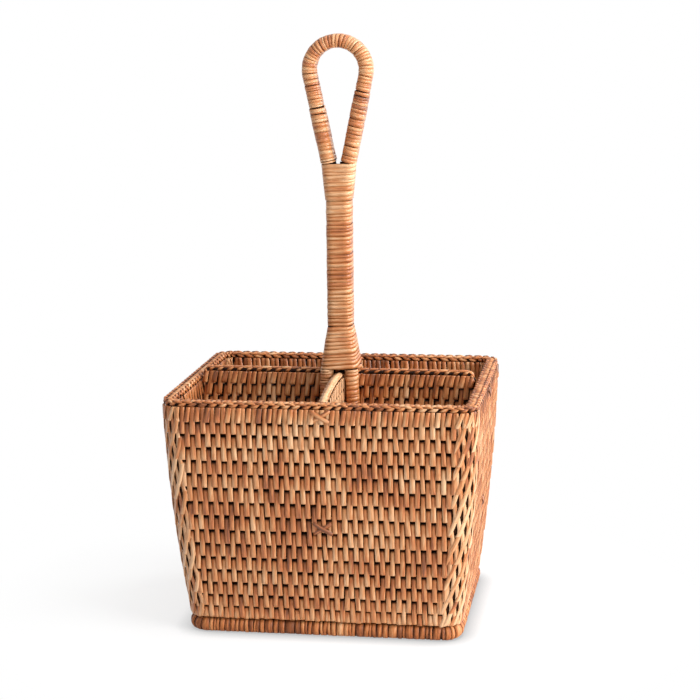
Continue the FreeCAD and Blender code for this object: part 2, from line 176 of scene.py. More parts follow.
class Finish:
    """The nodes of one material or of the world, which all come from one method."""

    def __init__(self, owner):
        owner.use_nodes = True
        self.tree = owner.node_tree
        self.tree.nodes.clear()

    def node(self, kind, settings=None, inputs=None, output=0):
        """Adds a node: its type, its settings, then the values or wires of its sockets."""
        node = self.tree.nodes.new(kind)
        for name, value in (settings or {}).items():
            if name == "stops":
                ramp = node.color_ramp
                while len(ramp.elements) < len(value):
                    ramp.elements.new(1.0)
                for element, (position, colour) in zip(ramp.elements, value):
                    element.position = position
                    element.color = (*colour, 1.0)
            else:
                setattr(node, name, value)
        for name, value in (inputs or {}).items():
            set_input(node, name, value)
        return Wire(self.tree, node.outputs[output]) if node.outputs else None

    def noise(self, vector, scale, detail=3.0, roughness=0.55):
        return self.node("ShaderNodeTexNoise", None, {
            "Vector": vector, "Scale": scale, "Detail": detail, "Roughness": roughness})

    def stretched(self, vector, scale):
        return self.node("ShaderNodeMapping", {"vector_type": "POINT"}, {
            "Vector": vector, "Scale": scale})

    def spread(self, value, low, high, new_low=0.0, new_high=1.0):
        return self.node("ShaderNodeMapRange", {"clamp": True}, {
            "Value": value, "From Min": low, "From Max": high,
            "To Min": new_low, "To Max": new_high})

    def mix(self, share, first, second):
        """One colour turning into another."""
        return self.node("ShaderNodeMix", {"data_type": "RGBA", "blend_type": "MIX"}, {
            "Factor": share, 6: first, 7: second}, 2)

    def seen(self):
        """One for the rays that show the background: from the camera, mirrored or let through."""
        straight = self.node("ShaderNodeLightPath", None, None, "Is Camera Ray")
        return straight + straight.other("Is Glossy Ray") + straight.other("Is Transmission Ray")

    def principled(self, **inputs):
        """The Principled shader; Base_Color stands for its socket Base Color."""
        named = {name.replace("_", " "): value for name, value in inputs.items()}
        return self.node("ShaderNodeBsdfPrincipled", None, named)

    def surface(self, shader, kind="ShaderNodeOutputMaterial"):
        self.node(kind, None, {"Surface": shader})


def peel_finish(material, colours, tint=0.0, fibre_depth=0.06, gloss=0.46, coat=0.6):
    """Split rattan skin: long fine fibres, strips that differ in tone, painted shade where they dip and
    painted light where they stand proud.
    """
    finish = Finish(material)
    strand = finish.node("ShaderNodeAttribute", {"attribute_name": "strand"}, None, "Color")
    tone = finish.node("ShaderNodeSeparateColor", None, {"Color": strand}, "Red")
    painted_light = tone.other("Green")
    grain = finish.node("ShaderNodeAttribute", {"attribute_name": "grain"}, None, "Vector")
    place = finish.node("ShaderNodeTexCoord", None, None, "Object")

    fibre = finish.noise(finish.stretched(grain, (0.1, 1.2, 1.0)), 1.0, 4.0, 0.65)
    streak = finish.noise(finish.stretched(grain, (0.045, 0.45, 1.0)), 1.0, 2.0)
    patch = finish.noise(place, 30.0, 3.0)
    speck = finish.noise(finish.stretched(grain, (0.5, 1.6, 1.0)), 1.0, 3.0, 0.7)
    spots = finish.spread(speck, 0.64, 0.76)

    # painted light and shade: the strand's painted light moves each point up or down the ramp, paler where
    # lit and darker where shaded
    level = tone + (streak - 0.5) * 0.9 + (patch - 0.5) * 1.2
    level = level + (fibre - 0.5) * 1.15 + (painted_light - (0.8 - tint)) * 0.8
    colour = finish.node("ShaderNodeValToRGB", {"stops": (
        (0.02, colours.hollow), (0.3, colours.warm), (0.56, colours.middle), (0.88, colours.pale))},
        {"Fac": level})
    # painted shade: near black where little painted light reaches
    dark = (*[value * 0.1 for value in colours.hollow], 1.0)
    with_painted_shade = finish.mix(finish.spread(painted_light, 0.12, 0.7, 1.0, 0.0), colour, dark)
    marked = finish.mix(spots * 0.35, with_painted_shade, (*colours.hollow, 1.0))
    rough = finish.spread(fibre, 0.3, 0.7, gloss + 0.12, gloss - 0.05)
    rough = rough + finish.spread(painted_light, 0.1, 0.7, 0.4, 0.0)
    bump = finish.node("ShaderNodeBump", None, {
        "Strength": 0.6, "Distance": fibre_depth * MM, "Height": fibre + streak * 0.6}, "Normal")
    finish.surface(finish.principled(
        Base_Color=marked, Roughness=rough, Normal=bump, Specular_IOR_Level=0.4,
        Coat_Weight=finish.spread(painted_light, 0.6, 1.0, 0.0, coat), Coat_Roughness=0.3))


def rod_finish(material, colours):
    """Round rattan under the peel, painted dark for the shade of the gaps where it shows, with lengthwise
    pores.
    """
    finish = Finish(material)
    place = finish.node("ShaderNodeTexCoord", None, None, "Object")
    pores = finish.noise(finish.stretched(place, (160.0, 160.0, 900.0)), 1.0, 3.0, 0.6)
    stain = finish.noise(place, 60.0, 3.0)
    colour = finish.node("ShaderNodeValToRGB", {"stops": (
        (0.3, [value * 0.25 for value in colours.shaded_rod]), (0.5, [value * 0.6 for value in colours.shaded_rod]),
        (0.7, colours.shaded_rod))}, {"Fac": pores * 0.5 + stain * 0.5})
    bump = finish.node("ShaderNodeBump", None, {
        "Strength": 0.5, "Distance": 0.1 * MM, "Height": pores}, "Normal")
    finish.surface(finish.principled(
        Base_Color=colour, Roughness=finish.spread(pores, 0.3, 0.7, 0.95, 0.8), Normal=bump,
        Specular_IOR_Level=0.15))


PEELS = {
    "woven_peel": {},
    # painted shade: a slightly lower tint darkens the long divider and floor, for the shade inside the
    # basket
    "inner_peel": {"tint": -0.04},
    "rim_peel": {"tint": -0.13, "coat": 0.25},
    "binding_peel": {"fibre_depth": 0.05},
    # painted shade: the lower tint darkens the foot, for the shade on its underside
    "foot_peel": {"tint": -0.25, "gloss": 0.6, "coat": 0.1},
    "lashing_peel": {"tint": -0.4},
}


def finished(kind):
    """The named material, made the first time that it is asked for."""
    name = kind + "_finish"
    material = bpy.data.materials.get(name)
    if material is None:
        material = bpy.data.materials.new(name)
        colours = bpy.context.scene.caddy_colours
        if kind in PEELS:
            peel_finish(material, colours, **PEELS[kind])
        else:
            rod_finish(material, colours)
    return material


# ---- strands of peel

class Blank:
    """A closed length of peel, drawn out in steps, whose copies are laid by the hundred."""

    def __init__(self, steps, sides):
        bm = bmesh.new()
        bmesh.ops.create_circle(bm, cap_ends=True, segments=sides, radius=1.0)
        turn = Matrix.Rotation(math.pi * (0.5 + 1.0 / sides), 3, "Z")
        bmesh.ops.rotate(bm, cent=(0, 0, 0), matrix=turn, verts=bm.verts[:])
        end = bm.faces[:]
        for step in range(steps):
            grown = bmesh.ops.extrude_face_region(bm, geom=end)["geom"]
            if step:
                bmesh.ops.delete(bm, geom=end, context="FACES_ONLY")
            end = [part for part in grown if isinstance(part, bmesh.types.BMFace)]
            edge = [part for part in grown if isinstance(part, bmesh.types.BMVert)]
            bmesh.ops.translate(bm, verts=edge, vec=(0, 0, 1.0 / steps))
        bmesh.ops.recalc_face_normals(bm, faces=bm.faces[:])
        bm.verts.ensure_lookup_table()
        points = np.array([vert.co for vert in bm.verts])
        span = np.abs(points[:, 0]).max()
        self.across = points[:, 0] / span
        self.flat = np.sign(self.across) * np.abs(self.across) ** 0.5
        self.lift = (points[:, 1] - points[:, 1].min()) / np.ptp(points[:, 1])
        self.along = points[:, 2]
        self.faces = [[vert.index for vert in face.verts] for face in bm.faces]
        bm.free()


def lay(name, blank, place, along_mm, across_mm, tone, painted_light, age):
    """One mesh of many strands. place is strands x points x 3, in millimetres."""
    strands, points = place.shape[:2]
    counts = np.array([len(face) for face in blank.faces])
    corners = np.concatenate([np.array(face) for face in blank.faces])
    mesh = bpy.data.meshes.new(name)
    mesh.vertices.add(strands * points)
    mesh.vertices.foreach_set("co", (place.reshape(-1) * MM).astype(np.float32))
    offsets = np.arange(strands)[:, None] * points
    loops = (offsets + corners[None, :]).reshape(-1)
    mesh.loops.add(len(loops))
    mesh.loops.foreach_set("vertex_index", loops.astype(np.int32))
    totals = np.tile(counts, strands)
    mesh.polygons.add(len(totals))
    mesh.polygons.foreach_set("loop_start", (np.cumsum(totals) - totals).astype(np.int32))
    mesh.polygons.foreach_set("use_smooth", totals < 5)
    mesh.update(calc_edges=True)

    def spread(value):
        return np.broadcast_to(value, (strands, points)).reshape(-1)

    grain_apart = 90.0
    layers = (
        ("strand", "FLOAT_COLOR", "color", (tone, painted_light, age, 1.0)),
        ("grain", "FLOAT_VECTOR", "vector", (along_mm, across_mm, age * grain_apart)),
    )
    for layer, kind, part, values in layers:
        flat = np.stack([spread(value) for value in values], axis=1).reshape(-1)
        mesh.attributes.new(layer, kind, "POINT").data.foreach_set(part, flat.astype(np.float32))
    return mesh


def add_piece(name, meshes, peel, node):
    """Joins the meshes into one piece that rides with the caddy and stands for its node."""
    bm = bmesh.new()
    for mesh in meshes:
        bm.from_mesh(mesh)
        bpy.data.meshes.remove(mesh)
    bmesh.ops.recalc_face_normals(bm, faces=bm.faces[:])
    whole = bpy.data.meshes.new(name)
    bm.to_mesh(whole)
    bm.free()
    whole.materials.append(finished(peel))
    piece = bpy.data.objects.new(name, whole)
    bpy.context.scene.collection.objects.link(piece)
    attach(piece, BODY)
    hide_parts(node)


# ---- the basket's surface

class Basket:
    """The basket's outside in millimetres: where a point on any side or corner lies."""

    def __init__(self):
        sizes = bpy.context.scene.caddy_basket
        self.rim = (sizes.rim_length / MM, sizes.rim_width / MM)
        self.base = (sizes.base_length / MM, sizes.base_width / MM)
        self.rim_height = sizes.rim_height / MM
        self.foot_height = sizes.foot_height / MM
        self.radius = sizes.corner_radius / MM
        self.bulge = sizes.side_bulge / MM
        self.wall = sizes.wall_thickness / MM
        self.divider = sizes.divider_thickness / MM
        stem_low, stem_high = box_mm("stem_binding")
        self.crossing = 0.5 * (stem_low.x + stem_high.x)
        rods = sorted(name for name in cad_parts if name.startswith("wall_rod_"))
        middles = [0.5 * sum(corner.z for corner in box_mm(name)) for name in rods]
        between = [0.5 * (low + high) for low, high in zip(middles, middles[1:])]
        weave_low, weave_high = box_mm("front_wall_weave")
        self.lines = np.array([weave_low.z, *between, weave_high.z])

    def half(self, axis, z):
        """Half the basket's length, axis 0, or width, axis 1, at a height."""
        share = (z - self.foot_height) / (self.rim_height - self.foot_height)
        straight = self.base[axis] + (self.rim[axis] - self.base[axis]) * share
        return 0.5 * straight + 4.0 * self.bulge * share * (1.0 - share)

    def straight(self, side, z):
        """Half the flat run of a side, between its corners."""
        return self.half(side % 2, z) - self.radius

    def point(self, side, run, z, out):
        """side 0 is the front, and the rest follow it anticlockwise; run goes along the side."""
        flat = self.straight(side, z)
        past = np.maximum(np.abs(run) - flat, 0.0)
        angle = past / self.radius
        reach = self.radius + out
        along = np.sign(run) * (np.minimum(np.abs(run), flat) + reach * np.sin(angle))
        away = self.half(1 - side % 2, z) - self.radius + reach * np.cos(angle)
        spots = {0: (along, -away), 1: (away, along), 2: (-along, away), 3: (-away, -along)}
        return stacked(*spots[side], z)

    def reach(self, z, radius):
        """For each side, half its way along the outline, out to the middle of its corners."""
        bend = 0.5 * QUARTER_TURN * radius
        return [self.straight(side, z) + bend for side in range(4)]

    def ring(self, travel, reach, spot):
        """A point by its travel anticlockwise from the front's middle. spot places a side's run."""
        travel = np.mod(travel + reach[0], 2.0 * sum(reach))
        place = spot(0, travel - reach[0])
        start = 2.0 * reach[0]
        for side in (1, 2, 3):
            run = travel - start - reach[side]
            here = (np.abs(run) <= reach[side] + TOLERANCE)[..., None]
            place = np.where(here, spot(side, run), place)
            start += 2.0 * reach[side]
        return place

    def around(self, travel, z, out):
        """A point by its travel round the outline at the rim."""
        reach = self.reach(self.rim_height, self.radius)
        return self.ring(travel, reach, lambda side, run: self.point(side, run, z, out))

    def girth(self):
        return 2.0 * sum(self.reach(self.rim_height, self.radius))


def stacked(x, y, z):
    """Points from arrays of their x, y and z."""
    return np.stack(np.broadcast_arrays(x, y, z), axis=-1)


def rounded_section(travel, half_a, half_b, radius, lift):
    """A point on a rounded rectangle by its travel from the middle of the +a face towards +b."""
    face = half_b - radius
    bend = QUARTER_TURN * radius
    quarter = face + bend + half_a - radius
    travel = np.mod(travel + 2.0 * quarter, 4.0 * quarter) - 2.0 * quarter
    upper = np.abs(travel)
    far = upper > quarter
    near = np.where(far, 2.0 * quarter - upper, upper)
    angle = np.clip((near - face) / radius, 0.0, QUARTER_TURN)
    a = half_a - radius + (radius + lift) * np.cos(angle) - np.maximum(near - face - bend, 0.0)
    b = np.minimum(near, face) + (radius + lift) * np.sin(angle)
    return np.where(far, -a, a), np.where(travel < 0.0, -b, b)


def section_girth(half_a, half_b, radius):
    return 4.0 * (half_a + half_b - 2.0 * radius) + 2.0 * math.pi * radius


# ---- stitches over the rods

def stitch_rows(lines, parity):
    """Low and high lines of the stitches in one column: two rows each, staggered."""
    rows = []
    start = parity
    if start:
        rows.append((0, 1))
    while start < len(lines) - 1:
        rows.append((start, min(start + 2, len(lines) - 1)))
        start += 2
    return rows


class Laid:
    """Strands laid alike, and what differs a little from one to the next."""

    def __init__(self, count, rng):
        self.count = count
        self.rng = rng

    def wander(self, size):
        return self.rng.normal(0.0, size, (self.count, 1))

    def age(self):
        return self.rng.random((self.count, 1))

    def tone(self, usual, size):
        return np.clip(usual + self.wander(size), 0.0, 1.0)


class Stitches(Laid):
    """Stitches on one face, as arrays with a row for each stitch."""

    def __init__(self, runs, lines, keep, rng, phase=0):
        found = []
        for column, run in enumerate(runs):
            for low, high in stitch_rows(lines, (column + phase) % 2):
                if keep(run, 0.5 * (lines[low] + lines[high])):
                    found.append((run, lines[low], lines[high], low, high))
        table = np.array(found)
        super().__init__(len(table), rng)
        self.run, self.low, self.high = (table[:, k:k + 1] for k in range(3))
        self.middle = 0.5 * (self.low + self.high)
        one_row = table[:, 4:5] - table[:, 3:4] < 2
        self.at_top = table[:, 4:5] == len(lines) - 1
        self.short = one_row & self.at_top


# A stitch in eleven steps from its lower to its upper end: how far a step lies from the nearer end,
# how far it stands off the wall, its share of the full width, and how much light reaches it.
STITCH_PULL = (1.6, 0.55, 0.3, 0.75, 2.4, 5.2, 8.6, 5.4, 2.5, 1.5, 1.25)
STITCH_DEPTH = (-2.8, -1.4, -0.2, 0.28, 0.42, 0.3, 0.05, -0.28, -0.42, -0.75, -3.0)
STITCH_WIDTH = (0.8, 1.0, 1.06, 1.08, 1.06, 1.02, 0.99, 0.97, 0.95, 0.93, 0.9)
STITCH_LIGHT = (0.0, 0.1, 0.65, 1.0, 1.0, 0.98, 0.9, 0.78, 0.66, 0.45, 0.0)

# In millimetres: a stitch over two full rows, the depth from which it is hidden, how much its middle
# stands above its edges, the peel's thickness, and the gap under what stands on the table.
FULL_STITCH = 17.3
TUCKED = -0.6
CROWN = 0.62
PEEL = 0.6
CLEAR_OF_TABLE = 0.02


@dataclass
class StitchCut:
    """How the strips of one face are cut and laid. relief 1 is fully woven, 0 nearly flat."""
    half_width: float
    tone_shift: float = 0.0
    lean: float = 0.0
    crown: float = CROWN
    relief: float = 1.0


def stitch_shape(stitches, blank, cut):
    """Each stitch springs from under the one above and ends proud, turned in over its rod."""
    share = blank.along
    waist = 0.6
    steps = np.linspace(0.0, 1.0, len(STITCH_PULL))
    pull, depth, width, light = (
        np.interp(share, steps, profile)
        for profile in (STITCH_PULL, STITCH_DEPTH, STITCH_WIDTH, STITCH_LIGHT))
    depth = np.where(depth > TUCKED, depth * cut.relief, depth)
    # painted shade is weaker on flatter faces, and stitches under the rim keep most of the painted light
    light = 1.0 - (1.0 - light) * (0.4 + 0.6 * cut.relief)
    upper = share > waist + 0.02
    at_waist = np.abs(share - waist) < 0.05
    length = stitches.high - stitches.low
    under_rim = stitches.at_top & upper
    pull = np.where(under_rim, pull * 0.5 - 2.0, pull * np.minimum(length / FULL_STITCH, 1.0))
    depth = np.where(under_rim, np.maximum(depth, -0.9), depth)
    light = np.where(under_rim, np.maximum(light, 0.75), light)
    up = np.where(upper, stitches.high - pull, stitches.low + pull)
    up = np.where(at_waist, stitches.low + 0.52 * length, up)
    slant = cut.lean + stitches.wander(0.028) + 0.13 * stitches.short
    wide = cut.half_width * (1.0 + stitches.wander(0.06)) * width
    side = blank.flat * wide
    run = stitches.run + stitches.wander(0.13) + slant * (up - stitches.middle) + side
    tip = np.exp(-share * 9.0)
    up = up + (side * 0.11 + 0.5 * blank.flat ** 4) * tip + stitches.wander(0.24) * ~upper
    arch = np.where(share > 0.55, 0.4, 1.0) * cut.crown
    out = depth + stitches.wander(0.06) - (1.0 - blank.lift) * arch
    out = out + 0.3 * stitches.short
    # painted light and shade: lit where the stitch stands proud, shaded where it dips under and towards
    # its lower flanks
    painted_light = light * np.clip(0.2 + blank.lift, 0.0, 1.0)
    return run, up, out, side, painted_light


def stitch_blank():
    return Blank(len(STITCH_PULL) - 1, 6)


def face_mesh(stitches, cut, surface):
    """The stitches of one face. surface gives a place for their run, height and distance out."""
    blank = stitch_blank()
    run, up, out, side, painted_light = stitch_shape(stitches, blank, cut)
    tone = stitches.tone(0.41 - 0.08 * stitches.short + cut.tone_shift, 0.075)
    place = surface(run, up, out)
    return lay("stitches", blank, place, up - stitches.low, side, tone, painted_light, stitches.age())


def columns(half_run, pitch):
    count = int(half_run / pitch)
    return [pitch * index for index in range(-count, count + 1)]


def wall_side(basket, side, pitch, rng):
    """The stitches on the outside and the inside of one straight wall."""
    past_corner = 1.2

    def on_flat(run, z):
        return abs(run) < basket.straight(side, z) + past_corner

    runs = columns(basket.straight(side, basket.rim_height) + past_corner, pitch)
    outer = Stitches(runs, basket.lines, on_flat, rng)
    inner = Stitches(runs, basket.lines, on_flat, rng)

    def outside(run, z, out):
        return basket.point(side, run, z, out)

    def inside(run, z, out):
        return basket.point(side, run, z, -basket.wall - out)

    return [face_mesh(outer, StitchCut(0.475 * pitch), outside),
            face_mesh(inner, StitchCut(0.45 * pitch, tone_shift=-0.1), inside)]


def corner_lattice(basket, corner, rng):
    """Thin strands that cross each other round one corner, outside and inside."""
    count = 6
    step = QUARTER_TURN / count
    turns = [step * (index + 0.5) for index in range(count)]
    spill = 0.06
    blank = stitch_blank()
    meshes = []
    for is_outside, height in ((True, 0.35), (False, 0.2)):
        radius = basket.radius if is_outside else basket.radius - basket.wall
        cut = StitchCut(0.42 * step * radius, relief=0.5)
        for lean in (-1.0, 1.0):
            stitches = Stitches(turns, basket.lines, lambda run, z: True, rng, lean > 0)
            run, up, out, side, painted_light = stitch_shape(stitches, blank, cut)
            slope = lean * (0.2 + stitches.wander(0.04))
            hook = 1.3 * np.clip((stitches.middle - up) / 8.0, 0.0, 1.0) ** 2
            shift = run - stitches.run + slope * (up - stitches.middle) - hook
            out = out + height * (lean > 0)
            angle = np.clip(stitches.run + shift / radius, -spill, QUARTER_TURN + spill)
            travel = basket.straight(corner, up) + basket.radius * angle
            place = basket.point(corner, travel, up, out if is_outside else -basket.wall - out)
            tone = stitches.tone(0.56, 0.14)
            meshes.append(lay(
                "strands", blank, place, up - stitches.low, side, tone, painted_light, stitches.age()))
    return meshes


# ---- plaits

@dataclass
class LeafRow:
    """A row of pointed pads of peel along an edge, in millimetres and degrees.

    place is how far round the edge's section the row lies, and stagger its start in steps.
    """
    place: float
    half_length: float
    half_width: float
    slope: float
    height: float
    tone: float
    stagger: float = 0.0
    crowd: int = 1


def lay_leaves(rows, length, pitch, section, bend, rng):
    """Lays rows of leaves on an edge whose section is a rounded rectangle, and bends them to it."""
    thickness, tip_drop = 1.5, 0.9
    blank = Blank(7, 6)
    narrow = np.sin(math.pi * np.clip(blank.along, 0.06, 0.94)) ** 0.6
    tuck = (1.0 - blank.along) ** 2
    # painted shade: leaves darken towards their undersides, tips and tucked ends, as shade in the plait's
    # creases
    painted_light = np.clip(0.85 * blank.lift ** 2.4 + 0.25 * narrow - 0.3 * tuck, 0.0, 1.0)
    meshes = []
    for row in rows:
        leaves = Laid(int(round(length / pitch)) * row.crowd, rng)
        step = length / leaves.count
        start = (np.arange(leaves.count)[:, None] + row.stagger) * step + leaves.wander(0.2)
        angle = np.radians(row.slope + leaves.wander(4.0))
        size = 1.0 + leaves.wander(0.06)
        along = (blank.along - 0.5) * 2.0 * row.half_length * size
        across = blank.across * row.half_width * narrow * size
        travel = start + along * np.cos(angle) - across * np.sin(angle)
        girdle = row.place + along * np.sin(angle) + across * np.cos(angle) + leaves.wander(0.1)
        out = row.height - (1.0 - blank.lift) * thickness - tip_drop * (1.0 - narrow) - tuck
        place = bend(travel, *rounded_section(girdle, *section, out))
        tone = leaves.tone(row.tone, 0.11)
        meshes.append(lay("leaves", blank, place, along, across, tone, painted_light, leaves.age()))
    return meshes


def top_travel(half_a, half_b, radius):
    """Travel round a section from the middle of a face to the middle of the top."""
    return half_b - radius + QUARTER_TURN * radius + half_a - radius


def shade_core(length, steps, half_a, half_b, drop, bend):
    """The bundle of ends inside a plait, painted near black as the shade within it, with its middle moved
    down by drop.
    """
    blank = Blank(steps, 12)
    angle = np.arctan2(blank.lift - 0.5, 0.5 * blank.across)
    travel = (blank.along * length)[None, :]
    a = half_a * np.cos(angle)[None, :]
    b = half_b * np.sin(angle)[None, :]
    none = np.zeros((1, 1))
    # no painted light at all, so the core shows as painted shade
    return lay("core", blank, bend(travel, a, b - drop), travel, a, none, none, none)


def plait_rim(basket, pitch, rng):
    """The rim's plait: leaves that cross along its outer and inner edges, and ribs over its top."""
    middle_z = 0.5 * sum(corner.z for corner in box_mm("rim_rod"))
    half_a = 0.5 * basket.wall
    half_b = basket.rim_height - middle_z
    radius = 1.9
    top = top_travel(half_a, half_b, radius)
    below = 0.12 * half_b

    def bend(travel, a, b):
        return basket.around(travel, middle_z + b, a - half_a)

    rows = (
        LeafRow(-below, 3.5, 1.5, 24.0, -0.1, 0.44),
        LeafRow(0.45 * top, 3.9, 1.7, -24.0, 0.05, 0.46, stagger=0.5),
        LeafRow(top, 2.7, 1.9, 64.0, -0.32, 0.62, crowd=2),
        LeafRow(1.55 * top, 3.9, 1.7, 24.0, 0.05, 0.48, stagger=0.5),
        LeafRow(2.0 * top + below, 3.5, 1.5, -24.0, -0.1, 0.44),
    )
    girth = basket.girth()
    meshes = lay_leaves(rows, girth, pitch, (half_a, half_b, radius), bend, rng)
    thinner, taller, drop = 2.1, 0.6, 2.0
    return [*meshes, shade_core(girth, 160, half_a - thinner, half_b + taller, drop, bend)]


# ---- turns wound round a pole

def bind(name, mesh):
    """A piece of wound peel named after the binding that it stands for."""
    add_piece(name + "_turns", [mesh], "binding_peel", name + "_binding")


class Winding(Laid):
    """Turns of peel wound side by side: where each starts, and how wide it is."""

    def __init__(self, start, end, pitch, rng, spread=0.22):
        super().__init__(max(int(round((end - start) / pitch)), 1), rng)
        widths = np.clip(rng.normal(1.0, spread, self.count), 0.5, 2.0)
        widths *= (end - start) / widths.sum()
        edges = start + np.concatenate([[0.0], np.cumsum(widths)])
        self.middle = (0.5 * (edges[:-1] + edges[1:]))[:, None]
        self.width = widths[:, None]


def wind(winding, steps, girth, surface, tone, thickness=0.34, tilt=0.0, seam=0.25,
         climbing=1.0, contrast=0.08, groove=0.62, gap=0.0):
    """Lays each turn as one strip that climbs by its own width on its way round.

    seam is where a turn starts, and groove how much light reaches the joint beside it.
    """
    lap = 0.02
    blank = Blank(steps, 6)
    turn = blank.along * (1.0 + lap) - 0.5 * lap
    climb = (turn - 0.5) * winding.width * climbing
    across = blank.flat * 0.5 * winding.width * (1.0 - gap + winding.wander(0.02))
    lean = tilt + winding.wander(0.01)
    out = -(1.0 - blank.lift) * thickness + winding.wander(0.07)
    place = surface(winding.middle + climb + across, seam + turn, out, lean)
    groove = np.clip(groove + winding.wander(0.2), 0.1, 0.95)
    painted_light = np.clip(groove + (1.0 - groove) * (blank.lift - 0.5) * 2.0, 0.0, 1.0)
    tone = winding.tone(tone, contrast)
    return lay("turns", blank, place, turn * girth, across, tone, painted_light, winding.age())


def ring_point(basket, travel, out, z):
    """A point beside the outline at the foot, by travel round it from the front's middle."""
    pole_inset = 4.0
    inner = basket.radius - pole_inset
    foot = basket.foot_height

    def spot(side, run):
        flat = basket.straight(side, foot)
        past = np.maximum(np.abs(run) - flat, 0.0) * basket.radius / inner
        run = np.sign(run) * (np.minimum(np.abs(run), flat) + past)
        return basket.point(side, run, foot, out)

    place = basket.ring(travel, basket.reach(foot, inner), spot)
    place[..., 2] = np.maximum(z, CLEAR_OF_TABLE)
    return place


def foot_ring_turns(basket, pitch, rng):
    """Turns wound round the foot ring, pressed flat where they stand on the table."""
    ring_top = box_mm("foot_ring_binding")[1]
    radius = 0.5 * thickness_of("foot_ring_pole", 2) / MM + PEEL
    middle_z = ring_top.z - radius
    inset = radius - (ring_top.x - basket.half(0, basket.foot_height))
    bend = QUARTER_TURN * (basket.radius - inset)
    straight = [basket.straight(side, basket.foot_height) for side in range(4)]
    winding = Winding(0.0, 2.0 * sum(straight) + 4.0 * bend, pitch, rng, 0.4)

    def surface(travel, round_, out, lean):
        angle = 2.0 * math.pi * round_
        away = (radius + out) * np.cos(angle)
        up = (radius + out) * np.sin(angle)
        return ring_point(basket, travel + 4.0 * lean * up, away - inset, middle_z + up)

    return wind(winding, 22, 2.0 * math.pi * radius, surface, 0.42, thickness=PEEL, seam=-0.62,
                climbing=0.1, contrast=0.13, groove=0.3, gap=0.1)


# ---- dividers

def divider_stitches(basket, axis, ends, top_at, spot, rng, pitch, cut):
    """Stitches on both faces of a divider that runs along an axis.

    ends are its low and high run, top_at gives its height by run, and spot places a point on it.
    """
    first, last = ends
    count = int((last - first) / pitch)
    start = 0.5 * (first + last) - 0.5 * pitch * (count - 1)
    runs = [start + pitch * index for index in range(count)]
    peak = max(top_at(run) for run in np.linspace(first, last, 9))
    lines = np.append(basket.lines, peak)
    lines[0] = box_mm("long_divider_weave")[0].z
    meshes = []

    def wall_at(z):
        return basket.half(axis, z) - basket.wall

    def on_panel(run, z):
        return z < top_at(run) and abs(run) < wall_at(z)

    for facing in (-1.0, 1.0):
        stitches = Stitches(runs, lines, on_panel, rng, facing > 0.0)

        def surface(run, up, out):
            up = np.minimum(up, np.vectorize(top_at)(np.clip(run, first, last)))
            run = np.clip(run, -wall_at(up), wall_at(up))
            return spot(run, facing * (0.5 * basket.divider + out), up)

        meshes.append(face_mesh(stitches, cut, surface))
    return meshes


def rope_rim(points, half_width, depth, pitch, spot, rng, tone=0.5):
    """A plaited band over the top edge of a divider. points is its edge line, run by height."""
    runs, heights = np.array(points).T
    steps = np.concatenate([[0.0], np.cumsum(np.hypot(np.diff(runs), np.diff(heights)))])
    length = steps[-1]
    radius = min(1.9, 0.48 * depth)
    reach = 0.4

    def on_line(travel):
        travel = np.clip(travel, 0.0, length)
        return np.interp(travel, steps, runs), np.interp(travel, steps, heights)

    def bend(travel, a, b):
        travel = np.clip(travel, 0.0, length)
        run, height = on_line(travel)
        run_before, height_before = on_line(travel - reach)
        run_after, height_after = on_line(travel + reach)
        tilt = np.arctan2(height_after - height_before, run_after - run_before)
        drop = depth - b
        return spot(run + drop * np.sin(tilt), -a, height - drop * np.cos(tilt))

    top = top_travel(half_width, depth, radius)
    edge = depth - radius - 0.2
    rows = (
        LeafRow(top, 4.9, half_width + 0.2, 0.0, -0.15, tone),
        LeafRow(edge, 2.8, 1.25, 36.0, -0.3, tone, stagger=0.5),
        LeafRow(2.0 * top - edge, 2.8, 1.25, -36.0, -0.3, tone, stagger=0.5),
    )
    meshes = lay_leaves(rows, length, pitch, (half_width, depth, radius), bend, rng)
    return [*meshes, shade_core(length, 60, half_width - 1.2, 0.4 * depth, -0.4 * depth, bend)]


ROPE_DEPTH = 3.8
CLEAR_OF_WALL = 0.4


def add_divider(name, peel, stitches, rope):
    add_piece(name + "_stitches", stitches, peel, name + "_weave")
    add_piece(name + "_rope", rope, "rim_peel", name + "_rim")


def fallen(past, radius):
    """How far a round shoulder has come down, by the distance past its start."""
    past = min(max(past, 0.0), radius)
    return radius - math.sqrt(radius ** 2 - past ** 2)


# ---- handle

# In millimetres: a pole's radius, half the distance between the middles of the two poles, how high above
# the collar's foot the loop's sides part, and how much more the peel stands out on a thicker wrap.
POLE_RADIUS = 3.75
HALF_APART = 3.8
MERGED_BELOW = 12.0
THICKER = 0.4


